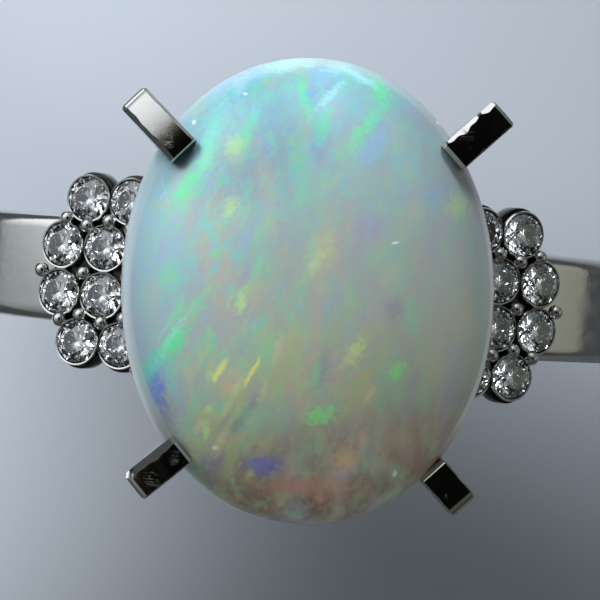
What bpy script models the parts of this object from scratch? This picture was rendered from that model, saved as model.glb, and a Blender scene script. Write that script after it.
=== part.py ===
"""Opal cabochon ring: an oval opal in a head of four flat claws, on a finger ring with stone-set shoulders.

The ring stands upright, with +Z through the opal, Y along the finger and X across the band.
The origin is the centre of the finger hole.
"""

import math

import bmesh
import bpy
from mathutils import Matrix, Vector

MM = 0.001

# Finger ring
FINGER_DIAMETER = 16.5 * MM
SHANK_THICKNESS = 1.5 * MM
SHANK_WIDTH_TOP = 2.5 * MM
SHANK_WIDTH_BOTTOM = 1.9 * MM
SHANK_EDGE_RADIUS = 0.35 * MM
SHANK_RADIUS = FINGER_DIAMETER / 2 + SHANK_THICKNESS

# Opal
OPAL_HALF_WIDTH = 4.0 * MM
OPAL_HALF_LENGTH = 5.0 * MM
OPAL_OUTLINE_POWER = 2.06
OPAL_DOME = 2.5 * MM
OPAL_DOME_POWER = 2.15
OPAL_BACK = 0.9 * MM
OPAL_BACK_POWER = 2.6

# The head is set a little askew on the band
GIRDLE_HEIGHT = 13.2 * MM
HEAD_TURN = math.radians(4.8)

# Claws, seen from above, in millimetres from the opal's axis: tip, then top outer edge
CLAW_WIDTH = 0.68 * MM
CLAW_TIP_THICKNESS = 0.42 * MM
CLAW_LEG_THICKNESS = 0.62 * MM
CLAW_EDGE_ROUNDING = 0.035 * MM
CLAWS = {
    "claw_upper_left": ((-2.67, 2.97), (-3.61, 4.04)),
    "claw_upper_right": ((3.05, 2.82), (4.05, 3.71)),
    "claw_lower_left": ((-2.70, -3.34), (-3.64, -4.12)),
    "claw_lower_right": ((2.61, -3.77), (3.29, -4.52)),
}

# Oval rings of the head, outside half sizes
RAIL_HALF_WIDTH = 3.6 * MM
RAIL_HALF_LENGTH = 4.45 * MM
RAIL_WALL = 0.75 * MM
RAIL_DEPTH = 0.8 * MM
RAIL_TOP = GIRDLE_HEIGHT - 0.45 * MM
COLLAR_HALF_WIDTH = 2.9 * MM
COLLAR_HALF_LENGTH = 3.6 * MM
COLLAR_WALL = 0.6 * MM
COLLAR_TOP = GIRDLE_HEIGHT - 2.6 * MM
LEG_FOOT = GIRDLE_HEIGHT - 3.25 * MM

# Shoulders
PLATE_THICKNESS = 0.65 * MM
PLATE_START = 3.15 * MM
PLATE_REACH = 2.85 * MM
PLATE_HALF_WIDTH = 2.25 * MM
PLATE_OUTLINE_POWER = 2.8
MELEE_DIAMETER = 0.95 * MM
ROW_PITCH = 1.07 * MM
INNER_ROW_PLACES = (3.45 * MM, 4.45 * MM, 5.42 * MM)
OUTER_ROW_PLACES = (3.95 * MM, 4.92 * MM)
BEAD_RADIUS = 0.17 * MM
BEAD_SPACING = 0.34 * MM

# Room between pieces that touch
GAP = 0.02 * MM
PLATE_RADIUS = SHANK_RADIUS + GAP + PLATE_THICKNESS

# Outlines are drawn with this many straight runs a turn
OVAL_STEPS = 40
BAND_STEPS = 64
PLATE_STEPS = 96
MELEE_STEPS = 10


def material(name, colour, roughness, metallic, transmission=0.0, ior=1.5):
    surface = bpy.data.materials.new(name)
    surface.use_nodes = True
    shader = surface.node_tree.nodes["Principled BSDF"]
    shader.inputs["Base Color"].default_value = (*colour, 1.0)
    shader.inputs["Roughness"].default_value = roughness
    shader.inputs["Metallic"].default_value = metallic
    shader.inputs["Transmission Weight"].default_value = transmission
    shader.inputs["IOR"].default_value = ior
    surface.diffuse_color = (*colour, 1.0)
    return surface


def collection(name, helper=False):
    group = bpy.data.collections.new(name)
    group.hide_render = helper
    bpy.context.scene.collection.children.link(group)
    return group


def add_object(name, mesh, group, surface=None):
    piece = bpy.data.objects.new(name, mesh)
    group.objects.link(piece)
    if surface is not None:
        mesh.materials.append(surface)
    return piece


def add_cutter(name, mesh, group):
    cutter = add_object(name, mesh, group)
    cutter.hide_render = True
    cutter.display_type = "WIRE"
    return cutter


def boolean(piece, other, operation):
    modifier = piece.modifiers.new(f"{operation.lower()}_{other.name}", "BOOLEAN")
    modifier.operation = operation
    modifier.solver = "EXACT"
    modifier.object = other


def mesh_from(name, edit):
    mesh = bpy.data.meshes.new(name)
    edit.to_mesh(mesh)
    edit.free()
    return mesh


def applied_mesh(piece):
    """The piece as its modifiers leave it, as a plain mesh with welded seams. The piece is removed."""
    bpy.context.view_layer.update()
    graph = bpy.context.evaluated_depsgraph_get()
    mesh = bpy.data.meshes.new_from_object(piece.evaluated_get(graph))
    mesh.transform(piece.matrix_world)
    edit = bmesh.new()
    edit.from_mesh(mesh)
    bmesh.ops.remove_doubles(edit, verts=edit.verts, dist=0.0005 * MM)
    edit.to_mesh(mesh)
    edit.free()
    bpy.data.objects.remove(piece)
    return mesh


def extruded_outline(name, outlines, half_depth, group):
    """A flat slab in the XY plane. Where there are two outlines, the second is a hole in the first."""
    curve = bpy.data.curves.new(name, "CURVE")
    curve.dimensions = "2D"
    curve.fill_mode = "BOTH"
    curve.extrude = half_depth
    for outline in outlines:
        spline = curve.splines.new("POLY")
        spline.points.add(len(outline) - 1)
        spline.use_cyclic_u = True
        for point, place in zip(spline.points, outline):
            point.co = (*place, 0.0, 1.0)
    slab = bpy.data.objects.new(name, curve)
    group.objects.link(slab)
    return applied_mesh(slab)


def oval(half_width, half_length, steps=OVAL_STEPS):
    turns = (math.tau * step / steps for step in range(steps))
    return [(half_width * math.cos(turn), half_length * math.sin(turn)) for turn in turns]


def opal_mesh(name, growth=0.0, segments=48, rings=18):
    """A domed oval with a low rounded back. Its girdle lies in the plane z = 0."""
    edit = bmesh.new()
    bmesh.ops.create_uvsphere(edit, u_segments=segments, v_segments=rings, radius=1.0)
    for vertex in edit.verts:
        reach = min(math.hypot(vertex.co.x, vertex.co.y), 1.0)
        turn = math.atan2(vertex.co.y, vertex.co.x)
        power = OPAL_OUTLINE_POWER
        fullness = (abs(math.cos(turn)) ** power + abs(math.sin(turn)) ** power) ** (-1 / power)
        if vertex.co.z > 0:
            height = (OPAL_DOME + growth) * math.sqrt(1 - reach**OPAL_DOME_POWER)
        else:
            height = -(OPAL_BACK + growth) * math.sqrt(1 - reach**OPAL_BACK_POWER)
        vertex.co = Vector((
            (OPAL_HALF_WIDTH + growth) * reach * fullness * math.cos(turn),
            (OPAL_HALF_LENGTH + growth) * reach * fullness * math.sin(turn),
            height,
        ))
    return mesh_from(name, edit)


def dome_height(x, y):
    reach = math.hypot(x / OPAL_HALF_WIDTH, y / OPAL_HALF_LENGTH)
    return OPAL_DOME * math.sqrt(1 - min(reach, 1.0) ** OPAL_DOME_POWER)


def way_out(start, heading, half_width, half_length):
    """How far a line from a point travels before it leaves an oval; less than 0 where it already has."""
    sx, sy = start.x / half_width, start.y / half_length
    hx, hy = heading.x / half_width, heading.y / half_length
    square, linear, rest = hx * hx + hy * hy, sx * hx + sy * hy, sx * sx + sy * sy - 1
    return (-linear + math.sqrt(max(linear * linear - square * rest, 0.0))) / square


def claw_profile(tip, heading, length):
    """The claw from the side, as (distance outwards from the tip, height over the girdle)."""
    girdle = way_out(tip, heading, OPAL_HALF_WIDTH, OPAL_HALF_LENGTH)
    collar = way_out(tip, heading, COLLAR_HALF_WIDTH, COLLAR_HALF_LENGTH)
    top = dome_height(tip.x, tip.y) + CLAW_TIP_THICKNESS
    foot = LEG_FOOT - GIRDLE_HEIGHT
    collar_top = COLLAR_TOP - GIRDLE_HEIGHT
    sunk = 0.12 * MM
    return [
        (0.0, top - 1.2 * MM),
        (0.0, top),
        (length - 0.32 * MM, top - 0.03 * MM),
        (length - 0.12 * MM, top - 0.10 * MM),
        (length, top - 0.30 * MM),
        (length, top - 0.62 * MM),
        (collar + CLAW_LEG_THICKNESS - sunk, collar_top),
        (collar + CLAW_LEG_THICKNESS - sunk, foot),
        (collar - sunk, foot),
        (collar - sunk, collar_top),
        (girdle + 0.06 * MM, -0.15 * MM),
        (girdle + 0.06 * MM, 0.0),
    ]


def claw_mesh(name, places, group, growth=0.0):
    """A flat strip, bent over the opal's edge. growth makes the cutter that gives it room."""
    tip, outer = (Vector(place) * MM for place in places)
    heading = (outer - tip).normalized()
    profile = claw_profile(tip, heading, (outer - tip).length)
    mesh = extruded_outline(name, [profile], CLAW_WIDTH / 2 + growth, group)
    across = Vector((-heading.y, heading.x, 0.0))
    along = Vector((heading.x, heading.y, 0.0))
    up = Vector((0.0, 0.0, 1.0))
    turned = Matrix((along, up, -across)).transposed().to_4x4()
    mesh.transform(Matrix.Translation((tip.x, tip.y, 0.0)) @ turned)
    return mesh


def add_claw(name, places, opal_room, parts, cutters, head, surface):
    claw = add_object(name, claw_mesh(name, places, parts), parts, surface)
    claw.parent = head
    rounding = claw.modifiers.new("filed_edges", "BEVEL")
    rounding.width = CLAW_EDGE_ROUNDING
    rounding.limit_method = "ANGLE"
    rounding.angle_limit = math.radians(40)
    boolean(claw, opal_room, "DIFFERENCE")
    room = add_cutter(f"room_for_{name}", claw_mesh(f"room_for_{name}", places, cutters, GAP), cutters)
    room.parent = head
    grow = room.modifiers.new("clearance", "DISPLACE")
    grow.mid_level = 0.0
    grow.strength = GAP
    return room


def add_oval_ring(name, half_width, half_length, wall, low, high, parts, surface):
    outlines = [oval(half_width, half_length), oval(half_width - wall, half_length - wall)]
    mesh = extruded_outline(name, outlines, (high - low) / 2, parts)
    ring = add_object(name, mesh, parts, surface)
    ring.location.z = (high + low) / 2
    ring.rotation_euler.z = HEAD_TURN
    return ring


def rounded_section(half_width, inner, outer, radius, corner_steps=2):
    """The band's section as (radius from the finger's axis, place along it), down the outside first."""
    corners = [
        (outer - radius, half_width - radius, 90),
        (outer - radius, radius - half_width, 0),
        (inner + radius, radius - half_width, -90),
        (inner + radius, half_width - radius, -180),
    ]
    section = []
    for x, y, start in corners:
        for step in range(corner_steps + 1):
            turn = math.radians(start - 90 * step / corner_steps)
            section.append((x + radius * math.cos(turn), y + radius * math.sin(turn)))
    return section


def turned_about_finger(name, section, group, steps=BAND_STEPS):
    """A closed section turned about the finger's axis, Y."""
    mesh = bpy.data.meshes.new(name)
    count = len(section)
    edges = [(index, (index + 1) % count) for index in range(count)]
    mesh.from_pydata([(x, 0.0, y) for x, y in section], edges, [])
    piece = add_object(name, mesh, group)
    screw = piece.modifiers.new("turned", "SCREW")
    screw.steps = steps
    screw.render_steps = steps
    screw.use_merge_vertices = True
    screw.merge_threshold = 0.0005 * MM
    piece.rotation_euler.x = math.radians(90)
    return applied_mesh(piece)


def shank_mesh(group):
    """The band is widest under the head and slimmest at the palm."""
    section = rounded_section(SHANK_WIDTH_TOP / 2, FINGER_DIAMETER / 2, SHANK_RADIUS, SHANK_EDGE_RADIUS)
    mesh = turned_about_finger("shank", section, group)
    slimmest = SHANK_WIDTH_BOTTOM / SHANK_WIDTH_TOP
    for vertex in mesh.vertices:
        height = (1 + vertex.co.z / vertex.co.xz.length) / 2
        vertex.co.y *= slimmest + (1 - slimmest) * height
    return mesh


def fan_outline(steps=16):
    """Half of a full oval, with its straight side towards the head."""
    outline = []
    for step in range(steps + 1):
        turn = math.radians(-90 + 180 * step / steps)
        power = 2 / PLATE_OUTLINE_POWER
        x = abs(math.cos(turn)) ** power
        y = math.copysign(abs(math.sin(turn)) ** power, turn)
        outline.append((PLATE_START + PLATE_REACH * x, PLATE_HALF_WIDTH * y))
    return outline


def melee_places():
    """Where each small stone sits, as (turn from the top of the band, place along the finger)."""
    places = []
    for row, columns in ((-1.5, OUTER_ROW_PLACES), (-0.5, INNER_ROW_PLACES),
                         (0.5, INNER_ROW_PLACES), (1.5, OUTER_ROW_PLACES)):
        places += [(math.asin(column / PLATE_RADIUS), row * ROW_PITCH) for column in columns]
    return places


def on_fan(turn, along):
    """True for a spot that lies on the plate, a bead's radius inside its outline."""
    x = (PLATE_RADIUS * math.sin(turn) - PLATE_START) / (PLATE_REACH - BEAD_RADIUS)
    y = abs(along) / (PLATE_HALF_WIDTH - BEAD_RADIUS / 2)
    return x > 0 and x**PLATE_OUTLINE_POWER + y**PLATE_OUTLINE_POWER < 1


def bead_places(stones):
    """Beads stand at the stones' corners, and neighbours share them."""
    reach = (MELEE_DIAMETER / 2 + BEAD_RADIUS + GAP) * math.sqrt(0.5)
    spots = []
    for turn, along in stones:
        for side_x, side_y in ((1, 1), (1, -1), (-1, -1), (-1, 1)):
            spot = Vector((PLATE_RADIUS * turn + side_x * reach, along + side_y * reach))
            clear = all((spot - other).length > BEAD_SPACING for other in spots)
            if clear and on_fan(spot.x / PLATE_RADIUS, spot.y):
                spots.append(spot)
    return [(spot.x / PLATE_RADIUS, spot.y) for spot in spots]


def on_band(turn, along, radius, side):
    """The frame of a spot on the band: Z points away from the finger."""
    return Matrix.Rotation(side * turn, 4, "Y") @ Matrix.Translation((0.0, along, radius))


def cone(edit, low_radius, high_radius, low, high, place):
    made = bmesh.ops.create_cone(
        edit, cap_ends=True, segments=MELEE_STEPS, radius1=low_radius, radius2=high_radius, depth=high - low
    )
    bmesh.ops.transform(
        edit, matrix=place @ Matrix.Translation((0.0, 0.0, (low + high) / 2)), verts=made["verts"]
    )


def melee_mesh(name, place):
    """A round brilliant: a cone below the girdle, and a flat-topped crown above it."""
    radius = MELEE_DIAMETER / 2
    girdle = 0.03 * MM
    pavilion = 0.43 * MELEE_DIAMETER
    crown = 0.16 * MELEE_DIAMETER
    edit = bmesh.new()
    bmesh.ops.create_cone(
        edit, cap_ends=True, segments=MELEE_STEPS, radius1=radius, radius2=0.56 * radius, depth=crown
    )
    bmesh.ops.translate(edit, verts=edit.verts, vec=(0.0, 0.0, crown / 2))
    base = next(face for face in edit.faces if face.normal.z < -0.9)
    sides = bmesh.ops.extrude_face_region(edit, geom=[base])
    lower = [item for item in sides["geom"] if isinstance(item, bmesh.types.BMVert)]
    bmesh.ops.delete(edit, geom=[base], context="FACES_ONLY")
    bmesh.ops.translate(edit, verts=lower, vec=(0.0, 0.0, -girdle))
    belly = next(face for face in edit.faces if face.normal.z < -0.9)
    tip = bmesh.ops.poke(edit, faces=[belly])["verts"]
    bmesh.ops.translate(edit, verts=tip, vec=(0.0, 0.0, girdle - pavilion))
    bmesh.ops.transform(edit, matrix=place, verts=edit.verts)
    bmesh.ops.recalc_face_normals(edit, faces=edit.faces)
    return mesh_from(name, edit)


def add_shoulder(name, side, parts, cutters, surface):
    """A fan-shaped plate on the band, drilled for the small stones and raised into beads between them."""
    half_width = PLATE_HALF_WIDTH + SHANK_THICKNESS
    section = [(PLATE_RADIUS, half_width), (PLATE_RADIUS, -half_width),
               (SHANK_RADIUS + GAP, -half_width), (SHANK_RADIUS + GAP, half_width)]
    plate = add_object(name, turned_about_finger(name, section, parts, PLATE_STEPS), parts, surface)
    outline = [(side * x, y) for x, y in fan_outline()]
    slab = extruded_outline(f"{name}_outline", [outline], SHANK_RADIUS, cutters)
    slab.transform(Matrix.Translation((0.0, 0.0, SHANK_RADIUS)))
    boolean(plate, add_cutter(f"{name}_outline", slab, cutters), "INTERSECT")

    stones = melee_places()
    beads = bmesh.new()
    for turn, along in bead_places(stones):
        place = on_band(turn, along, PLATE_RADIUS, side)
        bmesh.ops.create_uvsphere(beads, u_segments=6, v_segments=5, radius=BEAD_RADIUS, matrix=place)
    boolean(plate, add_cutter(f"{name}_beads", mesh_from(f"{name}_beads", beads), cutters), "UNION")

    seats = bmesh.new()
    for turn, along in stones:
        place = on_band(turn, along, PLATE_RADIUS, side)
        hole = 0.13 * MM
        mouth = MELEE_DIAMETER / 2 + 2 * GAP
        cone(seats, hole, mouth, -0.85 * MM, 0.0, place)
        cone(seats, mouth, mouth, -GAP, 0.4 * MM, place)
    drill = add_cutter(f"{name}_seats", mesh_from(f"{name}_seats", seats), cutters)
    boolean(plate, drill, "DIFFERENCE")
    plate.modifiers[-1].use_self = True
    return stones


def main():
    for old in list(bpy.data.objects):
        bpy.data.objects.remove(old)
    parts = collection("opal_cabochon_ring")
    cutters = collection("cutters", helper=True)
    opal_look = material("polished_opal", (0.66, 0.76, 0.74), 0.08, 0.0, ior=1.45)
    metal = material("polished_platinum", (0.80, 0.79, 0.77), 0.15, 1.0)
    clear = material("clear_melee", (0.95, 0.95, 0.95), 0.0, 0.0, transmission=1.0, ior=2.42)

    head = bpy.data.objects.new("head", None)
    parts.objects.link(head)
    head.location.z = GIRDLE_HEIGHT
    head.rotation_euler.z = HEAD_TURN

    opal = add_object("opal", opal_mesh("opal"), parts, opal_look)
    opal.data.shade_smooth()
    opal.parent = head
    opal_room = add_cutter("room_for_opal", opal_mesh("room_for_opal", GAP), cutters)
    opal_room.parent = head

    claw_rooms = [
        add_claw(name, places, opal_room, parts, cutters, head, metal) for name, places in CLAWS.items()
    ]

    rail = add_oval_ring("gallery_rail", RAIL_HALF_WIDTH, RAIL_HALF_LENGTH, RAIL_WALL,
                         RAIL_TOP - RAIL_DEPTH, RAIL_TOP, parts, metal)
    boolean(rail, opal_room, "DIFFERENCE")
    collar = add_oval_ring("collar", COLLAR_HALF_WIDTH, COLLAR_HALF_LENGTH, COLLAR_WALL,
                           SHANK_RADIUS - SHANK_THICKNESS / 2, COLLAR_TOP, parts, metal)
    for room in claw_rooms:
        boolean(rail, room, "DIFFERENCE")
        boolean(collar, room, "DIFFERENCE")

    shank = add_object("shank", shank_mesh(parts), parts, metal)
    shank.data.shade_smooth()
    shank.data.set_sharp_from_angle(angle=math.radians(50))
    half_width = COLLAR_HALF_LENGTH + SHANK_THICKNESS
    saddle = [(SHANK_RADIUS + GAP, half_width), (SHANK_RADIUS + GAP, -half_width),
              (FINGER_DIAMETER / 2, -half_width), (FINGER_DIAMETER / 2, half_width)]
    saddle_mesh = turned_about_finger("room_for_shank", saddle, cutters, PLATE_STEPS)
    boolean(collar, add_cutter("room_for_shank", saddle_mesh, cutters), "DIFFERENCE")

    for name, side in (("left", -1), ("right", 1)):
        stones = add_shoulder(f"shoulder_{name}", side, parts, cutters, metal)
        for number, (turn, along) in enumerate(stones, start=1):
            stone_name = f"melee_{name}_{number:02d}"
            place = on_band(turn, along, PLATE_RADIUS - GAP, side)
            add_object(stone_name, melee_mesh(stone_name, place), parts, clear)


main()
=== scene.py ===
import math
from functools import partial

import bmesh
import bpy
from mathutils import Matrix, Vector
from mathutils.geometry import delaunay_2d_cdt


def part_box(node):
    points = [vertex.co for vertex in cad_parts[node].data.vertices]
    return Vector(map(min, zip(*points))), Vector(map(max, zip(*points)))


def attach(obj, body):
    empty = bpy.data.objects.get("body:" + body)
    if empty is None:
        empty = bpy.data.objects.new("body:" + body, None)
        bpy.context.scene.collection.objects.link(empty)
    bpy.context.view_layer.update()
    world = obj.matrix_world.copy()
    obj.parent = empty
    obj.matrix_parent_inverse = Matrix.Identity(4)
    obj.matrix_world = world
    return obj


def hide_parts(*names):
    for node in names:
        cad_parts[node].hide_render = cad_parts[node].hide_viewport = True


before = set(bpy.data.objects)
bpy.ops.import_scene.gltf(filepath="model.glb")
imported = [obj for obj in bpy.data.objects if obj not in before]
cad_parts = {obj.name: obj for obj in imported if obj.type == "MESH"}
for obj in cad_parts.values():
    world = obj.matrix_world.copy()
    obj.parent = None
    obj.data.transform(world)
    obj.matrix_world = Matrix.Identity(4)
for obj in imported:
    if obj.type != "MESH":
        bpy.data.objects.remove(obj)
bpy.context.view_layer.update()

bl_info = {
    "name": "Opal cabochon ring",
    "version": (1, 0, 0),
    "blender": (4, 5, 0),
    "location": "View3D > Sidebar > Opal ring",
    "description": "Builds the finished pieces of an opal ring round its solid frame",
    "category": "Add Mesh",
}

MM = 0.001

# The head, as the frame holds it: its girdle plane and how far it is turned on the band
OPAL_LOW, OPAL_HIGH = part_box("opal")
OPAL_BACK = 0.9 * MM
GIRDLE_HEIGHT = OPAL_LOW.z + OPAL_BACK
OPAL_DOME = OPAL_HIGH.z - GIRDLE_HEIGHT
HEAD_TURN = math.radians(4.8)
HEAD = Matrix.Translation((0.0, 0.0, GIRDLE_HEIGHT)) @ Matrix.Rotation(HEAD_TURN, 4, "Z")
# Powers of the opal's curves, where 2 is a plain oval and more is fuller
OUTLINE_POWER, DOME_POWER, BACK_POWER = 2.06, 2.15, 2.6

# The head's rings, in millimetres: outside half sizes, walls, and heights from the girdle
OPAL_HALF_WIDTH, OPAL_HALF_LENGTH = 4.0, 5.0
RAIL_HALF_WIDTH, RAIL_HALF_LENGTH, RAIL_WALL, RAIL_DEPTH, RAIL_TOP = 3.6, 4.45, 0.75, 0.8, -0.45
COLLAR_HALF_WIDTH, COLLAR_HALF_LENGTH, COLLAR_WALL, COLLAR_TOP = 2.9, 3.6, 0.6, -2.6
OVAL_STEPS = 160
# Pieces that are soldered or set keep this gap, and the claws stand this far off the opal's girdle
GAP, GIRDLE_GAP = 0.02, 0.06

# The band
BAND_LOW, BAND_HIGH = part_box("shank")
BAND_RADIUS = BAND_HIGH.z
BAND_STEPS = 200

FLOOR_HEIGHT, FLOOR_SIZE = BAND_LOW.z, 1.2

# The shoulders, in millimetres: the plate's outline from above, and the columns of small stones
PLATE_RADIUS = BAND_RADIUS + 0.67 * MM
PLATE_START, PLATE_REACH, PLATE_HALF_WIDTH = 3.15, 2.85, 2.25
INNER_ROW = (3.45, 4.45, 5.42)
OUTER_ROW = (3.95, 4.92)
RIM_HEIGHT = 0.2
HOLE_STEPS = 40
# Metal left round the stones at the plate's edge, and the strips that it is cut into for its bend
EDGE_MARGIN, STRIP_WIDTH = 0.13, 0.15

# The photograph: its size, its scale at the girdle, and where the opal's middle is in it
PHOTO_SIZE = 600
PIXELS_PER_MM = 46.6
OPAL_MIDDLE_PIXEL = (307.7, 291.0)

# A claw's stations along its top, its bend and its leg, and in millimetres the bevel (width, depth) that
# its leg keeps, how far the leg stands inside the collar's edge, and how far it reaches below the collar's top
TOP_STEPS, BEND_STEPS, LEG_STEPS = 40, 8, 20
LEG_BEVEL = (0.06, 0.05)
FOOT_INSET, LEG_REACH = 0.12, 0.65

# Claws, seen from above, in millimetres from the opal's axis: tip, then top outer edge, and then how each
# was filed: its bevels' (width, depth) at the left, the right and the tip, the lean of its top outwards,
# the radius of its bend and the waves of its bevels
CLAWS = {
    "claw_upper_left": ((-2.67, 2.97), (-3.75, 4.12), (0.10, 0.16), (0.06, 0.035), (0.04, 0.03), 0.38, 0.10, 0.1),
    "claw_upper_right": ((3.02, 2.83), (4.12, 3.80), (0.09, 0.06), (0.03, 0.03), (0.09, 0.045), 0.0, 0.08, 0.35),
    "claw_lower_left": ((-2.70, -3.32), (-3.74, -4.15), (0.03, 0.03), (0.16, 0.30), (0.07, 0.035), 0.11, 0.14, 0.1),
    "claw_lower_right": ((2.62, -3.80), (3.36, -4.64), (0.03, 0.03), (0.05, 0.06), (0.12, 0.05), 0.0, 0.22, 0.1),
}

# Lamps, in the head's axes and in millimetres over the girdle. The soft boxes have grids that keep their
# light off the floor: name, energy, spread in degrees, place and target.
SOFT_BOX_SIZE, SOFT_BOX_COLOUR = 24 * MM, "#f0f6ff"
SOFT_BOXES = (
    ("key_left", 0.0022, 34, (-19, 22, 15), (0, -2, 4)),
    ("key_right", 0.0014, 34, (4, 28, 16), (0, -2, 4)),
    ("fill", 0.0009, 40, (9, -25, 19), (0, 3, 4)),
)
# The backdrop's spots light the floor alone, and the ring throws no hard shadow in them: name, energy,
# width in degrees, softness, place and target
SPOT_RADIUS, SPOT_COLOUR = 2 * MM, "#f2f5ff"
BACKDROP_SPOTS = (
    ("backdrop_top", 0.198, 56.9, 0.54, (-32.1, 28.9, 26.2), (11.5, 25.6, -22.95)),
    ("backdrop_left", 0.083, 45.8, 0.91, (-32.0, 2.5, 9.7), (-16.8, -1.6, -22.95)),
)

# Ramps of colour: the opal's body from foot to head, its darker foot partly painted shade, its streaks from cold
# to warm, the studio from dark to pale, and the rim of the dark overhead
BODY_AND_SHADE_COLOURS = (
    (0.0, "#746253"), (0.08, "#877062"), (0.17, "#998b7c"), (0.27, "#a0a891"), (0.42, "#a3a59e"),
    (0.56, "#9ea2a1"), (0.68, "#96a4a7"), (0.80, "#8fa3a6"), (0.90, "#83acb5"), (1.0, "#7bb4b8"),
)
STREAK_COLOURS = (
    (0.0, "#7f92be"), (0.18, "#88b0cc"), (0.34, "#72c2b8"), (0.48, "#72c894"),
    (0.62, "#a6c084"), (0.76, "#b9b28c"), (0.9, "#b89c8c"), (1.0, "#a08c98"),
)
SKY_COLOURS = (
    (0.0, "#3f3f3b"), (0.25, "#63655f"), (0.45, "#6c706e"), (0.62, "#98a1a5"), (0.80, "#c9d4da"), (1.0, "#f6faff"),
)
OVERHEAD_COLOURS = ((0.0, "#1b1a18"), (0.3, "#3f3a2e"), (0.6, "#8d8470"), (1.0, "#ffffff"))
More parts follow.
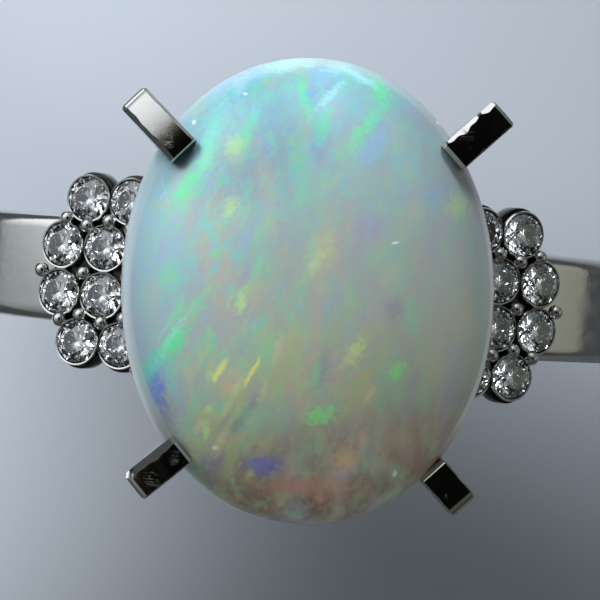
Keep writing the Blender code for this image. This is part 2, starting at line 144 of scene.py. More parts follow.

# The flashes that the silica layers send back, by colour, each colour laid over those before it. The white ones are
# painted glints and painted reflections, and the ice ones along the top rim are partly painted reflections. A flash
# is its middle, its half size along and across, and its lean from +X in degrees, then how strong and how soft it
# is.
# Places and sizes are in millimetres, from the opal's axis.
FLASHES_AND_GLINTS = {
    "#b3b09a": (  # sand
        (-1.56, 2.91, 0.15, 0.063, 75, 0.5, 0.6), (-0.92, 1.83, 0.59, 0.13, 90, 0.4, 0.8),
        (2.2, 1.73, 0.15, 0.11, -45, 0.5, 0.7), (1.61, 0.37, 0.21, 0.1, 60, 0.6, 0.7),
        (-1.57, -1.7, 0.17, 0.13, 60, 0.5, 0.7), (1.4, -0.42, 0.25, 0.11, 90, 0.4, 0.7),
    ),
    "#79aab0": (  # teal
        (-0.81, 3.88, 0.34, 0.17, 15, 0.5, 0.8), (0.83, 3.88, 0.27, 0.17, 60, 0.6, 0.8),
        (-0.73, -2.67, 0.34, 0.25, 60, 0.4, 0.8),
    ),
    "#77748f": (  # slate
        (-1.3, -2.45, 0.4, 0.08, 60, 0.5, 0.7), (-1.85, -2.75, 0.34, 0.07, 60, 0.45, 0.7),
        (0.2, -1.6, 0.3, 0.08, 75, 0.35, 0.8), (-3.03, -2.52, 0.29, 0.13, 105, 0.5, 0.8),
        (-1.52, -2.79, 0.21, 0.11, 60, 0.7, 0.6), (-2.03, -3.66, 0.27, 0.17, 45, 0.6, 0.7),
        (1.78, -0.36, 0.21, 0.17, 60, 0.35, 0.8),
    ),
    "#9a92b8": (  # lilac
        (-2.52, 2.91, 0.27, 0.063, 60, 0.6, 0.6), (1.27, 1.35, 0.25, 0.17, 30, 0.5, 0.8),
    ),
    "#c8a48c": (  # peach
        (-1.78, -2.0, 0.13, 0.084, 60, 0.7, 0.6), (1.07, -3.06, 0.13, 0.11, 60, 0.6, 0.6),
        (0.21, -4.39, 0.084, 0.084, 0, 0.6, 0.6),
    ),
    "#bb8a76": (  # salmon
        (-0.28, -4.1, 0.55, 0.13, 0, 0.8, 0.7), (0.33, -4.12, 0.46, 0.15, 0, 0.6, 0.8),
    ),
    "#9fb8a2": (  # sage
        (-1.51, 1.6, 0.27, 0.13, 60, 0.5, 0.8), (1.8, 3.25, 0.21, 0.19, 60, 0.4, 0.8),
    ),
    "#a3b07c": (  # olive
        (-1.17, -1.72, 0.17, 0.074, 60, 0.6, 0.7), (-2.34, -2.63, 0.21, 0.13, 15, 0.7, 0.7),
        (-2.46, -3.24, 0.15, 0.084, 30, 0.8, 0.6), (-1.68, -3.46, 0.42, 0.11, 75, 0.8, 0.6),
        (-0.74, -1.78, 0.46, 0.19, 75, 0.6, 0.8), (1.15, -1.01, 0.36, 0.17, 45, 0.5, 0.8),
        (1.01, -1.89, 0.34, 0.084, 60, 0.8, 0.6), (0.67, -2.5, 0.29, 0.063, 60, 0.6, 0.7),
        (-0.98, -1.28, 0.55, 0.16, 75, 0.6, 0.8), (-0.48, -1.45, 0.5, 0.14, 75, 0.6, 0.8),
        (-1.52, -2.3, 0.5, 0.11, 60, 0.6, 0.8), (-2.05, -2.95, 0.42, 0.1, 60, 0.6, 0.8),
        (-0.86, -2.95, 0.46, 0.15, 75, 0.45, 0.8), (0.52, -0.75, 0.46, 0.13, 60, 0.45, 0.8),
        (1.32, -1.5, 0.55, 0.1, 60, 0.5, 0.8),
    ),
    "#86afd0": (  # sky
        (-1.13, 4.63, 0.19, 0.13, 45, 0.7, 0.6), (-1.78, 4.42, 0.38, 0.11, 45, 0.6, 0.6),
        (-2.92, 0.81, 0.34, 0.13, 60, 0.4, 0.8), (0.26, 4.6, 0.23, 0.15, 30, 0.6, 0.7),
        (1.24, 3.1, 0.42, 0.21, 60, 0.6, 0.7), (2.66, 2.03, 0.23, 0.19, 60, 0.35, 0.8),
    ),
    # ice: pale flashes of the stone, and along the top rim painted reflections
    "#9fd6d8": (  # ice
        (-0.35, 4.89, 0.5, 0.15, 15, 0.8, 0.6), (-1.45, 4.39, 0.21, 0.11, 60, 0.7, 0.6),
        (-1.99, 3.81, 0.46, 0.17, 45, 0.5, 0.8), (0.69, 4.8, 0.25, 0.13, 15, 0.7, 0.7),
        (1.02, 4.6, 0.5, 0.074, -30, 0.9, 0.5), (0.39, 4.12, 0.38, 0.063, 45, 0.7, 0.6),
        (-3.01, -0.67, 0.29, 0.034, 60, 0.3, 0.6),
    ),
    "#6fc9cc": (  # cyan
        (-1.17, 3.77, 0.19, 0.074, 90, 0.9, 0.5),
    ),
    "#82c69c": (  # mint
        (-2.17, 2.74, 0.25, 0.074, 90, 0.6, 0.6), (-2.69, 1.94, 0.19, 0.11, 105, 0.8, 0.6),
        (-3.03, 0.34, 0.19, 0.17, 60, 0.7, 0.7), (-1.13, 0.54, 0.23, 0.074, 60, 0.5, 0.7),
        (-0.21, 2.25, 0.55, 0.15, 90, 0.35, 0.8), (0.96, 3.24, 0.32, 0.11, 60, 0.85, 0.6),
        (-2.82, -0.45, 0.25, 0.12, 60, 0.85, 0.6), (-2.88, -0.9, 0.25, 0.11, 75, 0.8, 0.6),
        (-2.49, -0.32, 0.13, 0.084, 60, 0.7, 0.6), (-0.93, -1.2, 0.27, 0.13, 75, 0.6, 0.7),
        (-1.25, -2.76, 0.29, 0.15, 60, 0.5, 0.8), (0.08, -1.72, 0.17, 0.074, 75, 0.7, 0.6),
        (2.1, -0.51, 0.29, 0.1, 105, 0.6, 0.7),
    ),
    "#9ce8c4": (  # seafoam
        (-2.94, -0.98, 0.34, 0.07, 60, 0.8, 0.7), (-3.22, -1.48, 0.3, 0.08, 60, 0.75, 0.7),
        (-2.17, 3.05, 0.42, 0.08, 75, 0.6, 0.7),
    ),
    "#5fd0ae": (  # aqua
        (-2.12, 3.22, 0.42, 0.12, 75, 0.65, 0.7), (-3.36, -1.57, 0.34, 0.13, 60, 0.8, 0.7),
        (-2.94, -1.77, 0.29, 0.084, 90, 0.5, 0.7),
    ),
    "#5ed892": (  # green
        (-0.1, 4.1, 0.36, 0.1, 105, 0.85, 0.7), (-1.41, 3.31, 0.3, 0.1, 60, 0.7, 0.7),
        (-2.55, 2.3, 0.3, 0.13, 60, 0.85, 0.7), (1.52, 4.24, 0.26, 0.12, 105, 0.75, 0.7),
        (1.26, 3.6, 0.42, 0.11, 60, 0.6, 0.7), (0.23, 3.54, 0.3, 0.11, 75, 0.6, 0.7),
        (-2.9, -1.1, 0.3, 0.13, 60, 0.9, 0.7),
    ),
    "#b3d28a": (  # lime
        (-1.62, 3.1, 0.17, 0.11, 45, 0.7, 0.6), (-1.71, 1.77, 0.19, 0.1, 75, 0.8, 0.6),
        (3.11, 1.84, 0.19, 0.15, 75, 0.6, 0.7), (0.12, 0.79, 0.36, 0.17, 60, 0.45, 0.8),
        (-1.49, -0.17, 0.19, 0.084, 75, 0.8, 0.5), (-2.07, -1.75, 0.1, 0.084, 45, 0.8, 0.6),
        (-2.21, -2.93, 0.17, 0.063, 90, 0.9, 0.5), (-2.15, -2.45, 0.084, 0.053, 45, 0.8, 0.5),
        (0.94, -1.22, 0.21, 0.11, 60, 0.8, 0.6),
    ),
    "#c9a566": (  # amber
        (1.15, -1.7, 0.084, 0.063, 60, 0.6, 0.6), (0.74, -3.53, 0.21, 0.17, 15, 0.85, 0.6),
    ),
    "#cdc88c": (  # straw
        (-1.58, -2.02, 0.19, 0.06, 60, 0.6, 0.6), (-1.02, -2.05, 0.17, 0.06, 75, 0.5, 0.6),
        (-1.78, -2.42, 0.19, 0.05, 60, 0.5, 0.6), (-0.72, -1.2, 0.21, 0.08, 75, 0.45, 0.7),
        (-2.38, -2.9, 0.17, 0.06, 75, 0.6, 0.5), (-1.92, -3.2, 0.25, 0.06, 75, 0.55, 0.6),
        (0.75, -1.35, 0.21, 0.07, 60, 0.45, 0.6), (1.2, -2.15, 0.19, 0.06, 60, 0.5, 0.6),
        (0.05, 0.62, 0.19, 0.08, 60, 0.4, 0.7),
    ),
    "#dcdc7c": (  # gold
        (-1.92, -1.62, 0.21, 0.05, 60, 0.85, 0.45), (-1.24, -1.64, 0.25, 0.034, 60, 0.85, 0.45),
        (-1.28, -3.84, 0.1, 0.063, 60, 0.5, 0.6),
    ),
    "#8ad883": (  # leaf
        (0.19, -2.56, 0.27, 0.16, 15, 0.9, 0.3), (1.78, -1.66, 0.2, 0.1, 45, 0.8, 0.35),
    ),
    "#6c94c6": (  # blue
        (0.03, 4.16, 0.19, 0.11, 90, 0.7, 0.6), (-3.22, -1.78, 0.23, 0.13, 90, 0.5, 0.8),
    ),
    "#5068cf": (  # royal
        (-3.24, -2.1, 0.24, 0.13, 105, 0.6, 0.8), (-0.99, -3.66, 0.29, 0.15, 0, 0.6, 0.5),
    ),
    # white: painted glints, and painted reflections in thin lines along the upper-left rim
    "#f4fbff": (  # white
        (2.77, 3.6, 0.046, 0.034, 0, 0.9, 0.4), (1.74, 1.04, 0.063, 0.025, 15, 0.7, 0.4),
        (-1.37, 4.19, 0.042, 0.032, 0, 0.8, 0.4), (-2.45, 3.58, 0.046, 0.032, 90, 0.9, 0.4),
        (1.81, -3.87, 0.034, 0.053, 0, 0.5, 0.5), (-2.02, -3.29, 0.042, 0.032, 0, 0.5, 0.5),
        (-3.07, 2.15, 0.21, 0.011, 105, 0.12, 0.5), (-3.13, 2.03, 0.13, 0.011, 60, 0.15, 0.5),
        (-1.86, 3.98, 0.19, 0.013, 45, 0.2, 0.6),
    ),
}

# Settings of nodes that ease a value from one to another, and that mix colours
EASED = {"interpolation_type": "SMOOTHSTEP"}
COLOURS = {"data_type": "RGBA"}


def linear(hex_colour):
    """The linear colour of an sRGB hex value, with full alpha."""
    channels = [int(hex_colour[start : start + 2], 16) / 255 for start in (1, 3, 5)]
    return (*(c / 12.92 if c <= 0.04045 else ((c + 0.055) / 1.055) ** 2.4 for c in channels), 1.0)


def add_node(tree, kind, *values, stops=(), **settings):
    """Adds a node to a tree, and gives the first of its outputs that is in use.

    A kind can be followed by the node's operation. values go to the inputs in use, in their order, and
    settings name more inputs, or the node's own settings. A value is a plain one, an sRGB hex colour, or
    the output that feeds the input. stops are a ramp's.
    """
    kind, *operation = kind.split()
    node = tree.nodes.new(kind if "Node" in kind else "ShaderNode" + kind)
    if operation:
        node.operation = operation[0]
    for name, value in settings.items():
        if name not in node.inputs:
            setattr(node, name, value)
    for _ in stops[2:]:
        node.color_ramp.elements.new(1.0)
    for element, (place, colour) in zip(node.color_ramp.elements if stops else (), stops):
        element.position = place
        element.color = linear(colour)
    named = [(node.inputs[name], value) for name, value in settings.items() if name in node.inputs]
    for socket, value in [*zip([socket for socket in node.inputs if socket.enabled], values), *named]:
        if isinstance(value, bpy.types.NodeSocket):
            tree.links.new(value, socket)
        else:
            socket.default_value = linear(value) if str(value).startswith("#") else value
    return next((socket for socket in node.outputs if socket.enabled), None)


def new_material(name):
    """An empty node material, and what adds a node to it."""
    surface = bpy.data.materials.new(name)
    surface.use_nodes = True
    surface.node_tree.nodes.clear()
    return surface, partial(add_node, surface.node_tree)


def colour_streaks(node, place, base, lean, size, seed, share, edge, warmth, strength):
    """Lays one generation of soft streaks of colour over the base colour.

    The streaks follow the grain of the silica. lean is the grain's angle from +X in degrees, size a
    streak's (width, length) in millimetres, share how much of the surface lights up, and edge how softly.
    """
    grain = node("Mapping", place, Rotation=(0.0, 0.0, math.radians(90 - lean)),
                 Location=(seed * 7.3, seed * 3.1, seed * 1.7))
    drawn = node("VectorMath MULTIPLY", grain, (0.7 / size[0], 0.7 / size[1], 0.35 / size[0]))
    noise = node("TexNoise", drawn, Scale=1.0, Detail=3.0, Roughness=0.55, Distortion=0.35)
    draws = node("SeparateColor", noise.node.outputs["Color"]).node.outputs
    # The noise keeps within a fifth of a half
    start = 0.62 - 0.24 * share
    lit = node("MapRange", draws["Red"], start, start + edge, **EASED)
    hue = node("MapRange", draws["Green"], 0.33, 0.67)
    shifted = node("Math MULTIPLY_ADD", hue, 0.6, warmth)
    tint = node("ValToRGB", shifted, stops=STREAK_COLOURS)
    amount = node("Math MULTIPLY", lit, strength, use_clamp=True)
    return node("Mix", amount, base, tint, **COLOURS)


def turned_place(node, place, lean):
    """The place in millimetres, measured along and across a line that leans from +X by an angle in degrees."""
    turned = node("Mapping", place, Rotation=(0.0, 0.0, math.radians(-lean)))
    return node("VectorMath MULTIPLY", turned, (1.0, 1.0, 0.0))


def flash_patch(node, turned, ragged, x, y, half_along, half_across, lean, strength, softness):
    """How strongly one flash shows at a place: an oval patch with a ragged edge, sizes in millimetres."""
    centre = Matrix.Rotation(math.radians(-lean), 2) @ Vector((x, y))
    stretch, shift = (1 / half_along, 1 / half_across, 0.0), (-centre.x / half_along, -centre.y / half_across, 0.0)
    distance = node("VectorMath LENGTH", node("VectorMath MULTIPLY_ADD", turned, stretch, shift))
    # The noise is a half on average, so the edge wanders round 1
    frayed = node("Math MULTIPLY_ADD", ragged, 4.0, distance)
    return node("MapRange", frayed, 3.2 + softness * 1.4, 2.9 - softness, 0.0, strength * 0.9, **EASED)


def opal_material(settings):
    """Precious opal, cut and polished.

    Silica spheres diffract light, so patches of pure colour lie in a milky, slightly translucent body.
    The eye gets a soft pale body with streaks of green, blue and gold under one smooth glossy skin.
    """
    surface, node = new_material("precious_opal_polished")
    # Millimetres from the opal's axis at its girdle, X across and Y along the opal
    place = node("Mapping", node("TexCoord").node.outputs["Object"], Scale=(1 / MM,) * 3,
                 Rotation=(0.0, 0.0, -HEAD_TURN), Location=(0.0, 0.0, -GIRDLE_HEIGHT / MM))
    axes = node("SeparateXYZ", place).node.outputs
    x, y = axes["X"], axes["Y"]

    # The body changes slowly from turquoise at the head to warm grey at the foot: partly the stone's own colour,
    # partly painted shade, darker towards the foot
    cloud = node("TexNoise", place, Scale=0.6, Detail=4.0)
    slope = node("Math MULTIPLY_ADD", x, -0.25, y)
    wander = node("Math MULTIPLY_ADD", cloud, 1.6, slope)
    body = node("ValToRGB", node("MapRange", wander, -4.2, 5.8), stops=BODY_AND_SHADE_COLOURS)
    side = node("MapRange", x, -1.6, -3.6, 0.0, 0.6, **EASED)
    colour = node("Mix", side, body, "#8fadba", **COLOURS)

    # Broad clouds of tint, a millimetre or so across, drawn out along the grain
    drawn = node("Mapping", place, Rotation=(0.0, 0.0, math.radians(22)), Scale=(1.5, 0.55, 1.0))
    tints = node("TexNoise", drawn, Scale=1.0, Detail=5.0).node.outputs["Color"]
    shares = node("SeparateColor", tints).node.outputs
    for channel, tint in (("Red", "#9a99ad"), ("Green", "#90b89c"), ("Blue", "#b3a690")):
        share = node("MapRange", shares[channel], 0.5, 0.68, 0.0, 0.5, **EASED)
        colour = node("Mix", share, colour, tint, **COLOURS)

    # Streaks: blue and green light up near the head and the left edge, gold and rose towards the foot.
    # The right side is foggier than the left, and so is the foot, and the middle of the upper half is calm.
    warmth = node("MapRange", wander, 4.8, -2.6, 0.0, 0.40, **EASED)
    to_right = node("Math MULTIPLY_ADD", y, -0.25, x)
    clear = node("MapRange", to_right, 3.4, -2.4, 0.16, 0.60, **EASED)
    from_calm = node("VectorMath DISTANCE", place, (0.3, 0.9, OPAL_DOME / MM))
    calm = node("MapRange", from_calm, 0.8, 2.6, 0.5, 1.0, **EASED)
    life = node("Math MULTIPLY", clear, calm)
    fine = node("Math MULTIPLY", life, 0.75)
    for layer in (
        (68, (0.46, 0.95), 1, 0.60, 0.17, warmth, life),
        (74, (0.22, 0.42), 2, 0.50, 0.11, warmth, life),
        (62, (0.10, 0.20), 3, 0.42, 0.09, warmth, fine),
    ):
        colour = colour_streaks(node, place, colour, *layer)

    # A pale haze lies over the right side, and a milky blue one over the left edge
    right = node("MapRange", x, 1.4, 3.6, 0.0, 0.17, **EASED)
    haze = node("Math MULTIPLY", right, node("MapRange", y, -4.8, -1.2, **EASED))
    colour = node("Mix", haze, colour, "#abb8b1", **COLOURS)
    left = node("MapRange", x, -2.3, -3.7, 0.0, 0.7, **EASED)
    colour = node("Mix", left, colour, "#94a9b6", **COLOURS)

    fray = node("TexNoise", place, Scale=7.5, Detail=4.0, Roughness=0.6)
    leans = {flash[4] for flashes in FLASHES_AND_GLINTS.values() for flash in flashes}
    turned = {lean: turned_place(node, place, lean) for lean in sorted(leans)}
    for tint, flashes in FLASHES_AND_GLINTS.items():
        mask = None
        for flash in flashes:
            patch = flash_patch(node, turned[flash[4]], fray, *flash)
            mask = patch if mask is None else node("Math MAXIMUM", mask, patch)
        colour = node("Mix", mask, colour, tint, **COLOURS)

    # Painted shade: round a spot on the slope at the head the colour is darkened, to tone down the key lamps' light
    # there
    from_shaded_spot = node("VectorMath DISTANCE", place, (-1.4, 3.4, 1.5))
    depth = node("MapRange", from_shaded_spot, 0.7, 2.4, 0.30, 0.0, **EASED)
    colour = node("Mix", depth, colour, "#1c5557", **COLOURS)

    # Painted light: a paler band follows the girdle, strongest at the right, standing in for light that comes
    # through the thin edge
    halves = (MM / settings.half_width, MM / settings.half_length, 0.0)
    across = node("VectorMath MULTIPLY", place, halves)
    reach = node("VectorMath LENGTH", across)
    rim_light_inset = node("MapRange", x, -1.0, 2.0, 0.942, 0.964, **EASED)
    band = node("MapRange", node("Math SUBTRACT", reach, rim_light_inset), 0.0, 0.012, **EASED)
    for axis, *span in ((y, -3.6, -2.4, 0.0, 1.0), (x, -2.0, 3.0, 0.35, 1.0), (y, 3.6, 0.0, 0.25, 1.0)):
        band = node("Math MULTIPLY", band, node("MapRange", axis, *span, **EASED))
    colour = node("Mix", band, colour, "#cfcec6", **COLOURS)

    node("OutputMaterial", node("BsdfPrincipled", **{
        "Base Color": colour,
        "Roughness": 0.3,
        "IOR": 1.45,
        "Subsurface Weight": 0.2,
        "Subsurface Radius": (1.0, 1.0, 1.0),
        "Subsurface Scale": 0.2 * MM,
        "Coat Weight": 0.5,
        "Coat Roughness": 0.12,
        "Coat IOR": 1.45,
    }))
    return surface


def platinum_material(name, colour, roughness, scratch_depth, shaded_below=None):
    """Platinum alloy, filed and hand polished.

    The eye gets a cool grey mirror, a little uneven, with fine stray scratches that catch the light. Where a last
    radius is given, in millimetres from the finger's axis, the metal below it is painted dark: painted shade in the
    hollows between the small stones.
    """
    surface, node = new_material(name)
    place = node("Mapping", node("TexCoord").node.outputs["Object"], Scale=(1 / MM,) * 3)
    # Waves left by the file, a third of a millimetre apart
    dents = node("TexNoise", place, Scale=3.0, Detail=3.0)
    relief = node("Math MULTIPLY", dents, 0.8)
    # Scratches run along the lines where a drawn-out noise crosses a half, in two directions
    worn = node("MapRange", node("TexNoise", place, Scale=1.9, Detail=2.0), 0.54, 0.74, **EASED)
    for turn, seed in ((0.75, 3.0), (-0.6, 11.0)):
        strokes = node("Mapping", place, Rotation=(0.2, 0.1, turn), Location=(seed, seed, 0.0),
                       Scale=(1.1, 7.0, 3.0))
        lines = node("TexNoise", strokes, Scale=1.0, Detail=4.0, Roughness=0.65)
        near = node("Math ABSOLUTE", node("Math SUBTRACT", lines, 0.5))
        groove = node("MapRange", near, 0.0, 0.006, -0.13, 0.0, **EASED)
        relief = node("Math MULTIPLY_ADD", groove, worn, relief)
    # Painted shade: metal nearer the finger's axis than the given radius is darkened, for the hollows between the
    # stones
    if shaded_below:
        out = node("VectorMath MULTIPLY", place, (1.0, 0.0, 1.0))
        painted_shade = node("MapRange", node("VectorMath LENGTH", out), shaded_below, shaded_below - 0.1, **EASED)
        colour = node("Mix", painted_shade, colour, "#35332f", **COLOURS)
    node("OutputMaterial", node("BsdfPrincipled", **{
        "Base Color": colour,
        "Metallic": 1.0,
        "Roughness": node("MapRange", dents, 0.35, 0.7, roughness * 0.7, roughness * 1.5),
        "Normal": node("Bump", Height=relief, Strength=1.0, Distance=scratch_depth),
    }))
    return surface


def melee_material():
    """Cut diamond: colourless and very bright, because its high index turns the light back out."""
    surface, node = new_material("cut_diamond")
    node("OutputMaterial", node("BsdfPrincipled", **{
        "Base Color": "#ffffff", "Roughness": 0.0, "IOR": 2.42, "Transmission Weight": 1.0,
    }))
    return surface


def new_object(name, mesh):
    made = bpy.data.objects.new(name, mesh)
    bpy.context.scene.collection.objects.link(made)
    return made


def hand_over(piece, slot, *nodes):
    """Hangs the piece on the root body and hides the frame's solids that it stands for."""
    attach(piece, "root")
    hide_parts(*nodes)


def apply_tree(name, mesh, tree, values):
    """Runs a Geometry Nodes tree on a mesh, with values by input name, and keeps the result as a plain mesh."""
    carrier = new_object(name + "_carrier", mesh)
    modifier = carrier.modifiers.new("shape", "NODES")
    modifier.node_group = tree
    for item in tree.interface.items_tree:
        if item.in_out == "INPUT" and item.name in values:
            modifier[item.identifier] = values[item.name]
    bpy.context.view_layer.update()
    finished = carrier.evaluated_get(bpy.context.evaluated_depsgraph_get())
    result = bpy.data.meshes.new_from_object(finished)
    result.name = name
    bpy.data.objects.remove(carrier)
    return new_object(name, result)


def new_tree(name, sizes):
    """A Geometry Nodes tree with a mesh in and out and an input for each named size, and those inputs."""
    tree = bpy.data.node_groups.new(name, "GeometryNodeTree")
    for way in ("INPUT", "OUTPUT"):
        tree.interface.new_socket("Geometry", in_out=way, socket_type="NodeSocketGeometry")
    for label, default in sizes.items():
        tree.interface.new_socket(label, in_out="INPUT", socket_type="NodeSocketFloat").default_value = default
    return tree, tree.nodes.new("NodeGroupInput").outputs


def finish_tree(tree, geometry, surface):
    """Ends a tree: instances become real and the faces carry the material."""
    real = add_node(tree, "GeometryNodeRealizeInstances", geometry)
    add_node(tree, "NodeGroupOutput", add_node(tree, "GeometryNodeSetMaterial", real, Material=surface))


def cabochon_tree(surface):
    """A ball drawn out into a domed oval: the outline is a full oval and the dome is a little flat on top."""
    tree, given = new_tree("cabochon", {
        "Half Width": OPAL_HALF_WIDTH * MM, "Half Length": OPAL_HALF_LENGTH * MM,
        "Dome": OPAL_DOME, "Back": OPAL_BACK,
        "Outline Power": OUTLINE_POWER, "Dome Power": DOME_POWER, "Back Power": BACK_POWER,
    })
    node = partial(add_node, tree)
    ball = node("GeometryNodeMeshUVSphere", 256, 128, 1.0)
    at = node("SeparateXYZ", node("GeometryNodeInputPosition")).node.outputs
    flat = node("CombineXYZ", at["X"], at["Y"])
    reach = node("VectorMath LENGTH", flat)
    ray = node("VectorMath NORMALIZE", flat)
    side = node("SeparateXYZ", node("VectorMath ABSOLUTE", ray)).node.outputs
    power = given["Outline Power"]
    across = node("Math POWER", side["X"], power)
    along = node("Math POWER", side["Y"], power)
    # The poles have no direction, and the sum is over a half everywhere else
    total = node("Math MAXIMUM", node("Math ADD", across, along), 0.5)
    full = node("Math POWER", total, node("Math DIVIDE", -1.0, power))
    spread = node("Math MULTIPLY", full, reach)
    halves = node("CombineXYZ", given["Half Width"], given["Half Length"])
    oval = node("VectorMath MULTIPLY", ray, halves)
    outline = node("VectorMath SCALE", oval, spread)
    above = node("Math GREATER_THAN", at["Z"], 0.0)
    curve = node("Mix", above, given["Back Power"], given["Dome Power"], data_type="FLOAT")
    down = node("Math MULTIPLY", given["Back"], -1.0)
    size = node("Mix", above, down, given["Dome"], data_type="FLOAT")
    fall = node("Math POWER", reach, curve)
    left = node("Math SUBTRACT", 1.0, fall, use_clamp=True)
    height = node("Math MULTIPLY", node("Math POWER", left, 0.5), size)
    place = node("VectorMath ADD", outline, node("CombineXYZ", 0.0, 0.0, height))
    domed = node("GeometryNodeSetPosition", ball, Position=place)
    finish_tree(tree, node("GeometryNodeSetShadeSmooth", domed), surface)
    return tree


def face_outwards(edit):
    """Turns each closed shell of the edit so that its faces point outwards."""
    bmesh.ops.recalc_face_normals(edit, faces=edit.faces)
    waiting = set(edit.faces)
    while waiting:
        shell, ahead, volume = [], [waiting.pop()], 0.0
        while ahead:
            face = ahead.pop()
            shell.append(face)
            first, *others = (vertex.co for vertex in face.verts)
            volume += sum(first.dot(near.cross(far)) for near, far in zip(others, others[1:]))
            for edge in face.edges:
                for neighbour in edge.link_faces:
                    if neighbour in waiting:
                        waiting.remove(neighbour)
                        ahead.append(neighbour)
        if volume < 0:
            bmesh.ops.reverse_faces(edit, faces=shell)


def mesh_from(name, edit, sharp_angle=30):
    """A mesh of the edit, with its faces outwards, smooth but for edges sharper than an angle in degrees."""
    face_outwards(edit)
    mesh = bpy.data.meshes.new(name)
    edit.to_mesh(mesh)
    edit.free()
    mesh.shade_smooth()
    mesh.set_sharp_from_angle(angle=math.radians(sharp_angle))
    return mesh


def skin(edit, rings, joined=False):
    """A skin over rings of points in millimetres. The last ring joins the first, or both ends are capped."""
    rows = [[edit.verts.new(Vector(place) * MM) for place in ring] for ring in rings]
    following = rows[1:] + rows[:1] if joined else rows[1:]
    for row, other in zip(rows, following):
        for near, far in zip(range(-1, len(row) - 1), range(len(row))):
            edit.faces.new((row[near], row[far], other[far], other[near]))
    if not joined:
        edit.faces.new(rows[0])
        edit.faces.new(rows[-1])


def rounded_corners(corners, radius, steps=4):
    """A closed outline with each corner drawn as a short arc that touches both of its sides."""
    outline = []
    for index, corner in enumerate(corners):
        here = Vector(corner)
        before = (Vector(corners[index - 1]) - here).normalized() * radius
        after = (Vector(corners[(index + 1) % len(corners)]) - here).normalized() * radius
        for step in range(steps + 1):
            share = step / steps
            outline.append(here + before * (1 - share) ** 2 + after * share**2)
    return outline


def opal_height(x, y, rise=OPAL_DOME, power=DOME_POWER):
    """Height of the opal's surface over its girdle, in millimetres, at a place from its axis."""
    reach = min(math.hypot(x / OPAL_HALF_WIDTH, y / OPAL_HALF_LENGTH), 1.0)
    return rise / MM * math.sqrt(1 - reach**power)


def around(turn, half_width, half_length):
    """The place on an oval at a turn, as (across, along)."""
    return half_width * math.cos(turn), half_length * math.sin(turn)


def way_out(start, heading, half_width, half_length):
    """How far a line from a point travels before it leaves an oval, in millimetres."""
    sx, sy = start.x / half_width, start.y / half_length
    hx, hy = heading.x / half_width, heading.y / half_length
    square, slope, rest = hx * hx + hy * hy, sx * hx + sy * hy, sx * sx + sy * sy - 1
    return (-slope + math.sqrt(max(slope * slope - square * rest, 0.0))) / square


def claw_mesh(name, settings, tip, outer, left, right, heel, lean, bend, wave):
    """A flat strip, bent over the opal's edge and down to the collar, with bevels filed along its edges.

    left, right and heel are a bevel's (width, depth) along each side and at the tip, seen from the opal
    outwards. lean is how far the top slopes down outwards, bend the radius of the bend at its outer end,
    and wave how unevenly the bevels are filed.
    """
    tip, outer = Vector(tip), Vector(outer)
    length = (outer - tip).length
    heading = (outer - tip).normalized()
    across = Vector((-heading.y, heading.x))
    half = settings.claw_width / MM / 2
    leg = settings.leg_thickness / MM
    girdle = way_out(tip, heading, OPAL_HALF_WIDTH, OPAL_HALF_LENGTH)
    collar = way_out(tip, heading, COLLAR_HALF_WIDTH, COLLAR_HALF_LENGTH) - FOOT_INSET
    top = opal_height(tip.x, tip.y) + settings.tip_thickness / MM

    def sunk(out):
        return lean * (out / length) ** 1.7

    # Each station is a spot outside, one inside under it, which way the outside faces, and 1 on the top
    stations = []
    flat = length - bend
    for step in range(TOP_STEPS + 1):
        out = flat * step / TOP_STEPS
        under = out + (girdle + GIRDLE_GAP - flat) * step / TOP_STEPS
        clear = opal_height(*(tip + heading * min(under, girdle))) + GAP
        stations.append((Vector((out, top - sunk(out))), Vector((under, clear)), Vector((0.0, 1.0)), 1.0))
    low = top - sunk(flat)
    for step in range(1, BEND_STEPS + 1):
        turn = math.radians(90 * step / BEND_STEPS)
        facing = Vector((math.sin(turn), math.cos(turn)))
        place = Vector((flat, low - bend)) + facing * bend
        stations.append((place, Vector((girdle + GIRDLE_GAP, -0.02 * step)), facing, 1.0 - step / BEND_STEPS))
    knee_out, knee_in = stations[-1][0], stations[-1][1]
    foot_out, foot_in = Vector((collar + leg, COLLAR_TOP)), Vector((collar, COLLAR_TOP))
    side = Vector((1.0, 0.0))
    for step in range(1, LEG_STEPS + 1):
        share = step / LEG_STEPS
        ease = 0.55 * share + 0.45 * share * share * (3 - 2 * share)
        outside, inside = (
            Vector((knee.x + (foot.x - knee.x) * ease, knee.y + (foot.y - knee.y) * share))
            for knee, foot in ((knee_out, foot_out), (knee_in, foot_in))
        )
        stations.append((outside, inside, side, 0.0))
    down = Vector((0.0, LEG_REACH))
    stations.append((foot_out - down, foot_in - down, side, 0.0))

    rings = []
    for outside, inside, facing, on_top in stations:
        out = outside.x
        uneven = 1 + wave * on_top * (math.sin(out * 8.1 + tip.x) + 0.6 * math.sin(out * 19.7 + tip.y))
        widths = [LEG_BEVEL[0] + (width * uneven - LEG_BEVEL[0]) * on_top for width, _ in (left, right)]
        depths = [LEG_BEVEL[1] + (depth - LEG_BEVEL[1]) * on_top for _, depth in (left, right)]
        filed = heel[1] * max(0.0, 1 - out / heel[0]) * on_top
        spots = [
            (half, depths[0]), (half - widths[0], 0.0), (half * 0.35, -0.006),
            (-half * 0.35, -0.006), (widths[1] - half, 0.0), (-half, depths[1]),
        ]
        ring = []
        for sideways, drop in spots:
            spot = outside - facing * (drop + filed)
            place = tip + heading * spot.x + across * sideways
            ring.append((place.x, place.y, spot.y))
        for sideways in (-half, half):
            place = tip + heading * inside.x + across * sideways
            ring.append((place.x, place.y, inside.y))
        rings.append(ring)
    edit = bmesh.new()
    skin(edit, rings)
    bmesh.ops.transform(edit, matrix=HEAD, verts=edit.verts)
    return mesh_from(name, edit, 20)


